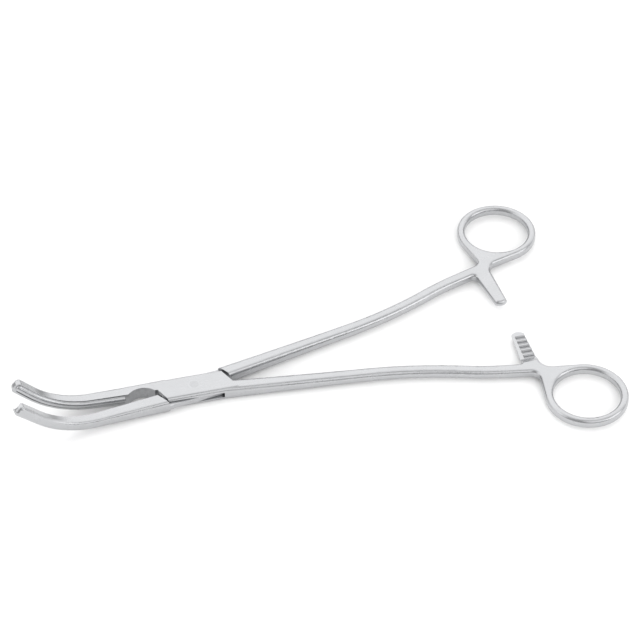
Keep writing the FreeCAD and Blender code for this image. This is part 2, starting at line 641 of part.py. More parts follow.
def rib_section(sketch, width, height, whole):
    """Low arch over a seat inside the jaw: the whole of it, or its upper half."""
    half = size_of(width) / 2
    crown = size_of(height)
    seat = size("rib_seat")
    tall = crown + seat
    radius = (half ** 2 + tall ** 2) / (2 * tall)
    spread = math.degrees(math.asin(half / radius))
    if tall > radius:
        spread = 180 - spread
    low = spread if whole else 0
    sketch.addGeometry(Part.LineSegment(point(seat, half), point(seat, -half if whole else 0)))
    sketch.addGeometry(arc(point(radius - crown, 0), radius, 180 - spread, 180 + low))
    constrain(sketch, ("Coincident", 0, 1, 1, 1), ("Vertical", 0),
              ("PointOnObject", 1, 3, -1))
    if whole:
        constrain(sketch, ("Coincident", 0, 2, 1, 2))
    else:
        sketch.addGeometry(Part.LineSegment(point(seat, 0), point(-crown, 0)))
        constrain(sketch, ("Coincident", 2, 1, 0, 2), ("Coincident", 2, 2, 1, 2),
                  ("PointOnObject", 2, 1, -1), ("PointOnObject", 2, 2, -1))
    dimension(sketch, "seat", "sizes.rib_seat", "DistanceX", *ORIGIN, 0, 1, seat)
    if whole:
        dimension(sketch, "width", width, "DistanceY", 0, 2, 0, 1, 2 * half)
    else:
        dimension(sketch, "width", f"({width}) / 2", "DistanceY", 0, 2, 0, 1, half)
    rise = f"(({height}) + sizes.rib_seat)"
    dimension(sketch, "radius", f"((({width}) / 2) ^ 2 + {rise} ^ 2) / (2 * {rise})",
              "Radius", 1, radius)


def channel_section(sketch, width, height, whole):
    """Narrow groove along the lower foot of the rib."""
    low = -(size("rib_width") / 2 + size_of(width))
    near = -size("half_gap")
    far = size("half_gap") + size_of(height)
    corners = [point(near, low), point(far, low), point(far, 0), point(near, 0)]
    for index in range(4):
        sketch.addGeometry(Part.LineSegment(corners[index], corners[(index + 1) % 4]))
    for index in range(4):
        constrain(sketch, ("Coincident", index, 2, (index + 1) % 4, 1))
    constrain(sketch, ("Horizontal", 0), ("Vertical", 1), ("Vertical", 3),
              ("PointOnObject", 2, 1, -1), ("PointOnObject", 2, 2, -1))
    dimension(sketch, "low", f"sizes.rib_width / 2 + {width}", "DistanceY", 0, 1, *ORIGIN, -low)
    dimension(sketch, "near", "sizes.half_gap", "DistanceX", 0, 1, *ORIGIN, -near)
    dimension(sketch, "far", f"sizes.half_gap + {height}", "DistanceX", *ORIGIN, 0, 2, far)


def strip(body, side, kinds, name, section, width, height, start, margin):
    """Lengthwise rib or groove in a jaw's inner face; kinds are its pipe and its round end."""
    path = jaw_path(body, f"{name}_path", side, start, margin)
    sketch = new_sketch(body, f"{name}_section", "YZ_Plane",
                        jaw_offset(side, start, jaw_level(start), JAW_SLOPE, 0,
                                   "sizes.rib_lift"))
    section(sketch, width, height, True)
    doc.recompute()
    edges = [f"Edge{number}" for number in range(1, len(path.Shape.Edges) + 1)]
    run = new_feature(body, kinds[0], name, Profile=sketch, Spine=(path, edges))
    finish(run, body)
    if len(kinds) == 1:
        return run
    end = new_sketch(body, f"{name}_end_section", "YZ_Plane",
                     jaw_offset(side, f"{path.Name}.Constraints.tip_x",
                                f"{path.Name}.Constraints.tip_z", "sizes.jaw_tip_angle", 0,
                                "sizes.rib_lift"))
    section(end, width, height, False)
    doc.recompute()
    cap = new_feature(body, kinds[1], f"{name}_end", Profile=end, Angle=360)
    cap.ReferenceAxis = (end, ["H_Axis"])
    return finish(cap, body)


def jaw_end(body):
    """Rounded nose of a jaw: its end face loses the edge round the back."""
    base = body.Tip
    face = min(base.Shape.Faces, key=lambda item: item.CenterOfMass.x)
    toe = math.tan(math.radians(size("jaw_toe_angle")))
    names = []
    for number, edge in enumerate(base.Shape.Edges, start=1):
        on_end = any(edge.isSame(other) for other in face.Edges)
        middle = edge.valueAt((edge.FirstParameter + edge.LastParameter) / 2)
        if on_end and abs(middle.y) + middle.x * toe > 2 * size("half_gap"):
            names.append(f"Edge{number}")
    nose = new_feature(body, "Fillet", "jaw_nose", Base=(base, names))
    nose.setExpression("Radius", "sizes.jaw_end_round")
    return finish(nose, body)


# Lock
def lock_block(body):
    """Block of the box: slanted cheek ends and rounded long edges."""
    sketch = new_sketch(body, "box_outline", "XY_Plane", turned(1, ("0", "0", "0")))
    slanted_block(sketch, "sizes.lock_half_width", "sizes.cheek_angle", "sizes.cheek_distance")
    block = new_feature(body, "Pad", "box", Profile=sketch, Midplane=True)
    block.setExpression("Length", "sizes.lock_thickness")
    finish(block, body)
    names = []
    for number, edge in enumerate(block.Shape.Edges, start=1):
        box = edge.BoundBox
        if box.ZLength < NEARLY and box.YLength < NEARLY:
            names.append(f"Edge{number}")
    rounding = new_feature(body, "Fillet", "box_rounding", Base=(block, names))
    rounding.setExpression("Radius", "sizes.lock_edge_round")
    return finish(rounding, body)


def arc_ends(radius, level):
    """Point of a circle about the pivot at a height above the X axis."""
    return point(math.sqrt(radius ** 2 - level ** 2), level)


def slot(body):
    """Slot through the box: round ends beside the two roots, open along both walls."""
    sketch = new_sketch(body, "slot_outline", "XY_Plane", turned(1, ("0", "0", "0")))
    radius = size("slot_radius")
    gap = size("lock_gap")
    reach = radius + size("lock_half_width")
    start = arc_ends(radius, gap)
    corners = [point(start.x, -gap), point(reach, -gap), point(reach, radius), point(0, radius)]
    turn = math.degrees(math.atan2(gap, start.x))
    for sign in (1, -1):
        base = sketch.GeometryCount
        for index in range(3):
            sketch.addGeometry(Part.LineSegment(corners[index] * sign, corners[index + 1] * sign))
            if index:
                constrain(sketch, ("Coincident", base + index - 1, 2, base + index, 1))
        first = 90 if sign > 0 else 270
        sketch.addGeometry(arc(point(0, 0), radius, first, first + 90 - turn))
        constrain(sketch, ("Coincident", base + 2, 2, base + 3, 1),
                  ("Coincident", base + 3, 3, *ORIGIN),
                  ("Horizontal", base), ("Vertical", base + 1), ("Horizontal", base + 2))
    constrain(sketch, ("Coincident", 3, 2, 4, 1), ("Coincident", 7, 2, 0, 1),
              ("PointOnObject", 3, 1, -2), ("PointOnObject", 7, 1, -2))
    dimension(sketch, "rear_radius", "sizes.slot_radius", "Radius", 3, radius)
    dimension(sketch, "front_radius", "sizes.slot_radius", "Radius", 7, radius)
    dimension(sketch, "rear_gap", "sizes.lock_gap", "DistanceY", 0, 1, *ORIGIN, gap)
    dimension(sketch, "front_gap", "sizes.lock_gap", "DistanceY", *ORIGIN, 4, 1, gap)
    dimension(sketch, "rear", "sizes.slot_radius + sizes.lock_half_width",
              "DistanceX", *ORIGIN, 0, 2, reach)
    dimension(sketch, "front", "sizes.slot_radius + sizes.lock_half_width",
              "DistanceX", 4, 2, *ORIGIN, reach)
    opening = new_feature(body, "Pocket", "slot", Profile=sketch, Midplane=True)
    opening.setExpression("Length", "sizes.slot_height")
    return finish(opening, body)


def lock_plate(body):
    """Thin plate that joins jaw and shank through the slot, with round ends."""
    sketch = new_sketch(body, "plate_outline", "XY_Plane", turned(1, ("0", "0", "0")))
    radius = size("slot_radius") - size("plate_end_clearance")
    gap = size("lock_gap")
    half = size("lock_half_width")
    inner = arc_ends(radius, gap)
    outer = arc_ends(radius, half)
    reach = size("shoulder_distance") / math.cos(math.radians(size("shoulder_angle")))
    drop = half * math.tan(math.radians(size("shoulder_angle")))
    root = half * size("plate_root_share")
    corners = [inner, point(reach + gap, gap), point(reach - drop + root, half),
               point(-outer.x, half)]
    low = math.degrees(math.atan2(gap, inner.x))
    high = math.degrees(math.atan2(half, outer.x))
    for sign in (1, -1):
        base = sketch.GeometryCount
        for index in range(3):
            sketch.addGeometry(Part.LineSegment(corners[index] * sign, corners[index + 1] * sign))
            if index:
                constrain(sketch, ("Coincident", base + index - 1, 2, base + index, 1))
        first = 180 if sign > 0 else 0
        sketch.addGeometry(arc(point(0, 0), radius, first - high, first + low))
        constrain(sketch, ("Coincident", base + 2, 2, base + 3, 1),
                  ("Coincident", base + 3, 3, *ORIGIN),
                  ("Horizontal", base), ("Horizontal", base + 2))
    constrain(sketch, ("Coincident", 3, 2, 4, 1), ("Coincident", 7, 2, 0, 1))
    end_reach = "sizes.shoulder_distance / cos(sizes.shoulder_angle * 1 deg)"
    end_drop = "sizes.lock_half_width * tan(sizes.shoulder_angle * 1 deg)"
    outer_reach = f"{end_reach} - {end_drop} + sizes.lock_half_width * sizes.plate_root_share"
    dimension(sketch, "rear_radius", "sizes.slot_radius - sizes.plate_end_clearance",
              "Radius", 3, radius)
    dimension(sketch, "front_radius", "sizes.slot_radius - sizes.plate_end_clearance",
              "Radius", 7, radius)
    dimension(sketch, "rear_gap", "sizes.lock_gap", "DistanceY", *ORIGIN, 0, 1, gap)
    dimension(sketch, "front_gap", "sizes.lock_gap", "DistanceY", 4, 1, *ORIGIN, gap)
    dimension(sketch, "upper", "sizes.lock_half_width", "DistanceY", *ORIGIN, 2, 2, half)
    dimension(sketch, "lower", "sizes.lock_half_width", "DistanceY", 6, 2, *ORIGIN, half)
    dimension(sketch, "rear_inner", f"{end_reach} + sizes.lock_gap",
              "DistanceX", *ORIGIN, 0, 2, reach + gap)
    dimension(sketch, "front_inner", f"{end_reach} + sizes.lock_gap",
              "DistanceX", 4, 2, *ORIGIN, reach + gap)
    dimension(sketch, "rear_outer", outer_reach, "DistanceX", *ORIGIN, 1, 2, corners[2].x)
    dimension(sketch, "front_outer", outer_reach, "DistanceX", 5, 2, *ORIGIN, corners[2].x)
    plate = new_feature(body, "Pad", "lock_plate", Profile=sketch, Midplane=True)
    plate.setExpression("Length", PLATE_THICKNESS)
    return finish(plate, body)


def shoulders(body):
    """Shoulders of jaw and shank: the lock's middle is cut back to the plate on both faces."""
    for name, sign, upward in (("upper", 1, True), ("lower", -1, False)):
        height = f"({sign}) * ({PLATE_THICKNESS}) / 2"
        sketch = new_sketch(body, f"{name}_shoulder", "XY_Plane", turned(1, ("0", "0", height)))
        slanted_block(sketch, "2 * sizes.lock_half_width", "sizes.shoulder_angle",
                      "sizes.shoulder_distance")
        cut = new_feature(body, "Pocket", f"{name}_cut", Profile=sketch, Reversed=upward)
        cut.setExpression("Length", "sizes.lock_thickness")
        finish(cut, body)


def round_cut(body, name, x, y, radius):
    """Upright round cut through the whole thickness of the lock."""
    sketch = new_sketch(body, f"{name}_outline", "XY_Plane", turned(1, ("0", "0", "0")))
    centre = point(size_of(x), size_of(y))
    sketch.addGeometry(Part.Circle(centre, Vector(0, 0, 1), size_of(radius)))
    dimension(sketch, "radius", radius, "Radius", 0, size_of(radius))
    if abs(centre.x) + abs(centre.y) > 0:
        dimension(sketch, "x", f"-({x})", "DistanceX", 0, 3, *ORIGIN, -centre.x)
        dimension(sketch, "y", f"-({y})", "DistanceY", 0, 3, *ORIGIN, -centre.y)
    else:
        constrain(sketch, ("Coincident", 0, 3, *ORIGIN))
    cut = new_feature(body, "Pocket", name, Profile=sketch, Midplane=True)
    cut.setExpression("Length", "3 * sizes.lock_thickness")
    return finish(cut, body)


# The three pieces
def box_half():
    """Half with the slotted box: jaw at +Y, handle at -Y."""
    body = new_body("box_half")
    lock_block(body)
    handle_plate(body, -1)
    shank(body, -1)
    ratchet(body, -1)
    jaw(body, 1)
    jaw_end(body)
    slot(body)
    round_cut(body, "relief", "-sizes.relief_x", "sizes.relief_depth - sizes.relief_radius",
              "sizes.relief_radius")
    strip(body, 1, ("SubtractivePipe",), "channel", channel_section,
          "sizes.channel_width", "sizes.channel_depth", "sizes.rib_start_x",
          "sizes.rib_end_margin")
    strip(body, 1, ("AdditivePipe", "Revolution"), "rib", rib_section,
          "sizes.rib_width", "sizes.rib_height", "sizes.rib_start_x",
          "sizes.rib_end_margin")
    round_cut(body, "bore", "0", "0", "sizes.pin_diameter / 2")
    return body


def through_half():
    """Half whose plate passes through the box: jaw at -Y, handle at +Y."""
    body = new_body("through_half")
    lock_plate(body)
    handle_plate(body, 1)
    shank(body, 1)
    ratchet(body, 1)
    jaw(body, -1)
    jaw_end(body)
    shoulders(body)
    strip(body, -1, ("SubtractivePipe",), "groove", rib_section,
          "sizes.rib_width + 2 * sizes.rib_clearance",
          "sizes.rib_height + sizes.rib_clearance",
          "sizes.rib_start_x - 2 * sizes.rib_clearance", "0")
    round_cut(body, "bore", "0", "0", "sizes.pin_diameter / 2 + sizes.pin_running_clearance")
    return body


def pivot_pin():
    """Pin of the lock, ground flush with both cheeks."""
    body = new_body("pivot_pin")
    sketch = new_sketch(body, "outline", "XY_Plane")
    sketch.addGeometry(Part.Circle(point(0, 0), Vector(0, 0, 1), size("pin_diameter") / 2))
    constrain(sketch, ("Coincident", 0, 3, *ORIGIN))
    dimension(sketch, "radius", "sizes.pin_diameter / 2", "Radius", 0, size("pin_diameter") / 2)
    pin = new_feature(body, "Pad", "pin", Profile=sketch)
    pin.setExpression("Length", "sizes.lock_thickness")
    finish(pin, body)
    return body


pieces = {"box_half": box_half(), "through_half": through_half(), "pivot_pin": pivot_pin()}
for name, sign in (("box_half", -1), ("through_half", 1), ("pivot_pin", -1)):
    turn = f"({sign}) * sizes.opening_angle / 2"
    pieces[name].setExpression(
        "Placement", f"placement(vector(0; 0; 0); rotation(vector(0; 0; 1); {turn}))")
doc.recompute()

# Every object must be sound before anything is written
for item in doc.Objects:
    if "Invalid" in item.State or "Error" in item.State:
        raise RuntimeError(f"{item.Name} failed: {item.State}")
os.makedirs("parts", exist_ok=True)
for name, body in pieces.items():
    shape = body.Shape
    if shape.isNull() or not shape.isValid() or len(shape.Solids) != 1:
        raise RuntimeError(f"{name} is not one valid solid")
    box = shape.BoundBox
    print(name, round(shape.Volume, 1), len(shape.Faces), "faces",
          [round(value, 2) for value in (box.XMin, box.YMin, box.ZMin, box.XMax, box.YMax, box.ZMax)])
    shape.exportStep(f"parts/{body.Label}.step")
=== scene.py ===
import logging
import math
from dataclasses import dataclass, field
from enum import Enum
from typing import Optional

import bpy
from mathutils import Matrix, Vector


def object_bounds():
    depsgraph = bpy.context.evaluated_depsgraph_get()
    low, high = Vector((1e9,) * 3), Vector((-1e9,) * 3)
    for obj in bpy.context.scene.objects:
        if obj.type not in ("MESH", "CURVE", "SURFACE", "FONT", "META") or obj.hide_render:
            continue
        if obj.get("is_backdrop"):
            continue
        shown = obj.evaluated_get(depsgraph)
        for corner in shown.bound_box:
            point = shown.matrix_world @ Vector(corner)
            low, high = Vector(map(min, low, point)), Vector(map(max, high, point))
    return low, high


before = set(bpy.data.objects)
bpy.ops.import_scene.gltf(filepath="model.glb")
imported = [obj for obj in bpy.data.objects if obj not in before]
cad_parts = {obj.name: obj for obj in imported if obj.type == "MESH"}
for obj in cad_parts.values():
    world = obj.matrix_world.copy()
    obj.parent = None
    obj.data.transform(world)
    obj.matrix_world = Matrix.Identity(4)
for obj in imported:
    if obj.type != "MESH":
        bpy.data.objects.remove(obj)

logger = logging.getLogger("forceps")

Colour = tuple[float, float, float]
Place = tuple[float, float, float]
Span = tuple[float, float]
Socket = bpy.types.NodeSocket
Given = bpy.types.NodeOutputs

WHITE = (1.0, 1.0, 1.0, 1.0)


class GroupName(Enum):
    """Shared effects, each a shader node group."""

    GRAIN = "satin grain"
    CLOUDS = "polishing clouds"
    SCRATCHES = "handling scratches"
    EDGES = "rubbed edges"
    CREVICES = "shaded crevices"


class NodeSheet:
    """Short ways to place and join nodes in one node tree."""

    def __init__(self, tree: bpy.types.NodeTree) -> None:
        """Keeps the tree that the nodes go into."""
        self.tree = tree

    def node(self, kind: str, **settings: object) -> bpy.types.Node:
        """Adds a node.

        Args:
            kind: Blender's name of the node type.
            settings: properties to set on the node.

        Returns:
            The new node.
        """
        item = self.tree.nodes.new(kind)
        for name, value in settings.items():
            setattr(item, name, value)
        return item

    def feed(self, target: Socket, value: object) -> None:
        """Joins an output to an input, or sets the input's own value.

        Args:
            target: the input socket.
            value: an output socket, or a number or colour.
        """
        if isinstance(value, bpy.types.NodeSocket):
            self.tree.links.new(value, target)
        else:
            target.default_value = value

    def math(self, operation: str, *values: object, clamp: bool = False) -> Socket:
        """Adds a Math node.

        Args:
            operation: what it does, such as MULTIPLY.
            values: its inputs, in order.
            clamp: keeps the result between 0 and 1.

        Returns:
            The result's socket.
        """
        item = self.node("ShaderNodeMath", operation=operation, use_clamp=clamp)
        for index, value in enumerate(values):
            self.feed(item.inputs[index], value)
        return item.outputs[0]

    def remap(self, value: Socket, low: float, high: float,
              to_low: float = 0.0, to_high: float = 1.0) -> Socket:
        """Maps a range of a value smoothly onto another range.

        Args:
            value: the socket to read.
            low: value that becomes to_low.
            high: value that becomes to_high.
            to_low: result at low.
            to_high: result at high.

        Returns:
            The result's socket.
        """
        item = self.node("ShaderNodeMapRange", interpolation_type="SMOOTHSTEP")
        for index, number in enumerate((value, low, high, to_low, to_high)):
            self.feed(item.inputs[index], number)
        return item.outputs["Result"]

    def mix(self, factor: object, first: object, second: object) -> Socket:
        """Blends two colours.

        Args:
            factor: share of the second colour.
            first: colour at 0.
            second: colour at 1.

        Returns:
            The blended colour's socket.
        """
        item = self.node("ShaderNodeMix", data_type="RGBA", clamp_factor=True)
        self.feed(item.inputs["Factor"], factor)
        colours = [socket for socket in item.inputs if socket.type == "RGBA"]
        for socket, value in zip(colours, (first, second)):
            self.feed(socket, value)
        return next(socket for socket in item.outputs if socket.type == "RGBA")

    def noise(self, vector: Socket, scale: float, detail: float, roughness: float = 0.5) -> Socket:
        """Adds a Noise texture.

        Args:
            vector: where it is read.
            scale: lumps per metre.
            detail: octaves.
            roughness: strength of the finer octaves.

        Returns:
            The grey value's socket.
        """
        item = self.node("ShaderNodeTexNoise")
        self.feed(item.inputs["Vector"], vector)
        self.feed(item.inputs["Scale"], scale)
        self.feed(item.inputs["Detail"], detail)
        self.feed(item.inputs["Roughness"], roughness)
        return item.outputs["Fac"]

    def stretched(self, vector: Socket, scale: Place) -> Socket:
        """Scales a vector along its axes.

        Args:
            vector: the socket to read.
            scale: factor along each axis.

        Returns:
            The scaled vector's socket.
        """
        item = self.node("ShaderNodeMapping", vector_type="POINT")
        self.feed(item.inputs["Vector"], vector)
        item.inputs["Scale"].default_value = scale
        return item.outputs["Vector"]

    def group(self, name: GroupName, **values: object) -> bpy.types.Node:
        """Places a shared group.

        Args:
            name: which effect.
            values: its inputs by name, with underscores for blanks.

        Returns:
            The group's node.
        """
        item = self.node("ShaderNodeGroup", node_tree=bpy.data.node_groups[name.value])
        for key, value in values.items():
            self.feed(item.inputs[key.replace("_", " ")], value)
        return item


class EffectGroup:
    """Base of the shared effects: a node group with named inputs and outputs."""

    name: GroupName
    inputs: tuple[tuple[str, str], ...] = ()
    outputs: tuple[str, ...] = ()

    def build(self) -> bpy.types.NodeTree:
        """Makes the group once.

        Returns:
            The node group.
        """
        tree = bpy.data.node_groups.new(self.name.value, "ShaderNodeTree")
        for label, kind in self.inputs:
            tree.interface.new_socket(name=label, in_out="INPUT", socket_type=kind)
        for label in self.outputs:
            tree.interface.new_socket(name=label, in_out="OUTPUT", socket_type="NodeSocketFloat")
        sheet = NodeSheet(tree)
        source = sheet.node("NodeGroupInput")
        target = sheet.node("NodeGroupOutput")
        for label, value in self.draw(sheet, source.outputs).items():
            sheet.feed(target.inputs[label], value)
        return tree

    def draw(self, sheet: NodeSheet, given: Given) -> dict[str, Socket]:
        """Draws the effect; each kind of group has its own."""
        raise NotImplementedError


class GrainGroup(EffectGroup):
    """Fine parallel lines that a polishing belt leaves."""

    name = GroupName.GRAIN
    inputs = (("Vector", "NodeSocketVector"), ("Fineness", "NodeSocketFloat"))
    outputs = ("Lines", "Streaks")
    line_stretch: Place = (0.03, 1.0, 1.0)
    line_detail: float = 4.0
    line_roughness: float = 0.62
    streak_stretch: Place = (0.012, 0.22, 0.22)
    streak_detail: float = 3.0

    def draw(self, sheet: NodeSheet, given: Given) -> dict[str, Socket]:
        """Draws fine lines and wider streaks along the vector's first axis.

        Args:
            sheet: where the nodes go.
            given: the group's inputs.

        Returns:
            The outputs by name.
        """
        scaled = sheet.node("ShaderNodeVectorMath", operation="SCALE")
        sheet.feed(scaled.inputs[0], given["Vector"])
        sheet.feed(scaled.inputs["Scale"], given["Fineness"])
        fine = sheet.stretched(scaled.outputs[0], self.line_stretch)
        wide = sheet.stretched(scaled.outputs[0], self.streak_stretch)
        return {
            "Lines": sheet.noise(fine, 1.0, self.line_detail, self.line_roughness),
            "Streaks": sheet.noise(wide, 1.0, self.streak_detail),
        }


class CloudsGroup(EffectGroup):
    """Slow changes of gloss where hand polishing was a little uneven."""

    name = GroupName.CLOUDS
    inputs = (("Vector", "NodeSocketVector"),)
    outputs = ("Clouds", "Specks")
    cloud_scale: float = 95.0
    cloud_detail: float = 3.0
    cloud_span: Span = (0.3, 0.7)
    speck_scale: float = 1900.0
    speck_detail: float = 1.0
    speck_span: Span = (0.68, 0.8)

    def draw(self, sheet: NodeSheet, given: Given) -> dict[str, Socket]:
        """Draws soft clouds and sparse specks.

        Args:
            sheet: where the nodes go.
            given: the group's inputs.

        Returns:
            The outputs by name.
        """
        clouds = sheet.noise(given["Vector"], self.cloud_scale, self.cloud_detail)
        specks = sheet.noise(given["Vector"], self.speck_scale, self.speck_detail)
        return {
            "Clouds": sheet.remap(clouds, *self.cloud_span),
            "Specks": sheet.remap(specks, *self.speck_span),
        }


class ScratchesGroup(EffectGroup):
    """Sparse hair-fine scratches from trays and other instruments."""

    name = GroupName.SCRATCHES
    inputs = (("Vector", "NodeSocketVector"),)
    outputs = ("Scratches",)
    angles_and_scales: tuple[Span, ...] = ((0.5, 520.0), (-0.9, 430.0))
    stretch: Place = (0.04, 1.0, 0.3)
    line_detail: float = 1.0
    line_middle: float = 0.5
    line_half_width: float = 0.012
    patch_scale_share: float = 0.3
    patch_detail: float = 0.0
    patch_span: Span = (0.55, 0.7)

    def draw(self, sheet: NodeSheet, given: Given) -> dict[str, Socket]:
        """Draws two families of slanted scratches, broken up by patches.

        Args:
            sheet: where the nodes go.
            given: the group's inputs.

        Returns:
            The outputs by name.
        """
        families = []
        for angle, scale in self.angles_and_scales:
            turned = sheet.node("ShaderNodeVectorRotate", rotation_type="Z_AXIS")
            sheet.feed(turned.inputs["Vector"], given["Vector"])
            turned.inputs["Angle"].default_value = angle
            drawn_out = sheet.stretched(turned.outputs[0], self.stretch)
            lines = sheet.noise(drawn_out, scale, self.line_detail)
            off_line = sheet.math("ABSOLUTE", sheet.math("SUBTRACT", lines, self.line_middle))
            on_line = sheet.remap(off_line, self.line_half_width, 0.0)
            patches = sheet.noise(given["Vector"], scale * self.patch_scale_share,
                                  self.patch_detail)
            families.append(sheet.math("MULTIPLY", on_line,
                                       sheet.remap(patches, *self.patch_span)))
        return {"Scratches": sheet.math("MAXIMUM", *families)}


class EdgesGroup(EffectGroup):
    """Finds the edges of a piece, where handling and the wheel rub it brighter."""

    name = GroupName.EDGES
    inputs = (("Vector", "NodeSocketVector"), ("Amount", "NodeSocketFloat"))
    outputs = ("Edges",)
    radius: float = 0.0003
    samples: int = 6
    alike_span: Span = (0.995, 0.9)
    break_scale: float = 700.0
    break_detail: float = 2.0
    break_span: Span = (0.25, 0.6)
    break_least: float = 0.45

    def draw(self, sheet: NodeSheet, given: Given) -> dict[str, Socket]:
        """Compares the surface's direction with that of its rounded neighbourhood.

        Args:
            sheet: where the nodes go.
            given: the group's inputs.

        Returns:
            The outputs by name.
        """
        rounded = sheet.node("ShaderNodeBevel", samples=self.samples)
        rounded.inputs["Radius"].default_value = self.radius
        surface = sheet.node("ShaderNodeNewGeometry")
        alike = sheet.node("ShaderNodeVectorMath", operation="DOT_PRODUCT")
        sheet.feed(alike.inputs[0], rounded.outputs["Normal"])
        sheet.feed(alike.inputs[1], surface.outputs["Normal"])
        edge = sheet.remap(alike.outputs["Value"], *self.alike_span)
        uneven = sheet.noise(given["Vector"], self.break_scale, self.break_detail)
        broken = sheet.remap(uneven, *self.break_span, self.break_least, 1.0)
        return {"Edges": sheet.math("MULTIPLY", sheet.math("MULTIPLY", edge, broken),
                                    given["Amount"], clamp=True)}


class CrevicesGroup(EffectGroup):
    """Finds grooves and joints by how closed in they are: painted shade darkens the steel there,
    and its polish is rougher.
    """

    name = GroupName.CREVICES
    inputs = (("Reach", "NodeSocketFloat"), ("Amount", "NodeSocketFloat"))
    outputs = ("Crevices",)
    samples: int = 8
    open_span: Span = (0.85, 0.25)

    def draw(self, sheet: NodeSheet, given: Given) -> dict[str, Socket]:
        """Measures how closed in a spot is.

        Args:
            sheet: where the nodes go.
            given: the group's inputs.

        Returns:
            The outputs by name.
        """
        # ambient occlusion: the mask for painted shade in grooves and joints, also used for their
        # roughness
        around = sheet.node("ShaderNodeAmbientOcclusion", samples=self.samples)
        sheet.feed(around.inputs["Distance"], given["Reach"])
        mask = sheet.remap(around.outputs["AO"], *self.open_span)
        return {"Crevices": sheet.math("MULTIPLY", mask, given["Amount"], clamp=True)}


@dataclass(frozen=True)
class PatternWeights:
    """How strongly each pattern changes the colour, roughness and height of the steel.

    Args:
        dark_tone: share of the clean colour in its darkest places.
        bright_tone: the clean colour's gain on rubbed edges.
        streaks_tone: share of the streaks in the change of tone.
        clouds_tone: share of the clouds in the change of tone.
        edges_tone: how far rubbed edges go to the bright tone.
        scratches_tone: how far scratches go to the dark tone.
        rough_start: roughness taken off before the patterns add theirs.
        lines_rough: roughness of the grain's lines.
        clouds_rough: roughness of the clouds.
        crevices_rough: roughness of grooves and joints.
        edges_rough: roughness that rubbing takes off the edges.
        scratches_height: height of a scratch, as a share of the grain's.
        specks_height: height of a speck, as a share of the grain's.
        bump: strength of all heights together.
    """

    dark_tone: float = 0.9
    bright_tone: float = 1.1
    streaks_tone: float = 0.6
    clouds_tone: float = 0.4
    edges_tone: float = 0.7
    scratches_tone: float = 0.35
    rough_start: float = 0.08
    lines_rough: float = 0.1
    clouds_rough: float = 0.06
    crevices_rough: float = 0.2
    edges_rough: float = 0.1
    scratches_height: float = -0.6
    specks_height: float = -0.5
    bump: float = 0.6


@dataclass(frozen=True)
class Patterns:
    """Outputs of the shared groups on one piece's steel, each a value from 0 to 1.

    Args:
        lines: fine lines of the grain.
        streaks: wider streaks of the grain.
        clouds: slow changes of gloss.
        specks: sparse specks.
        scratches: hair-fine scratches.
        edges: rubbed edges.
        crevices: grooves and joints, for painted shade and added roughness.
    """

    lines: Socket
    streaks: Socket
    clouds: Socket
    specks: Socket
    scratches: Socket
    edges: Socket
    crevices: Socket


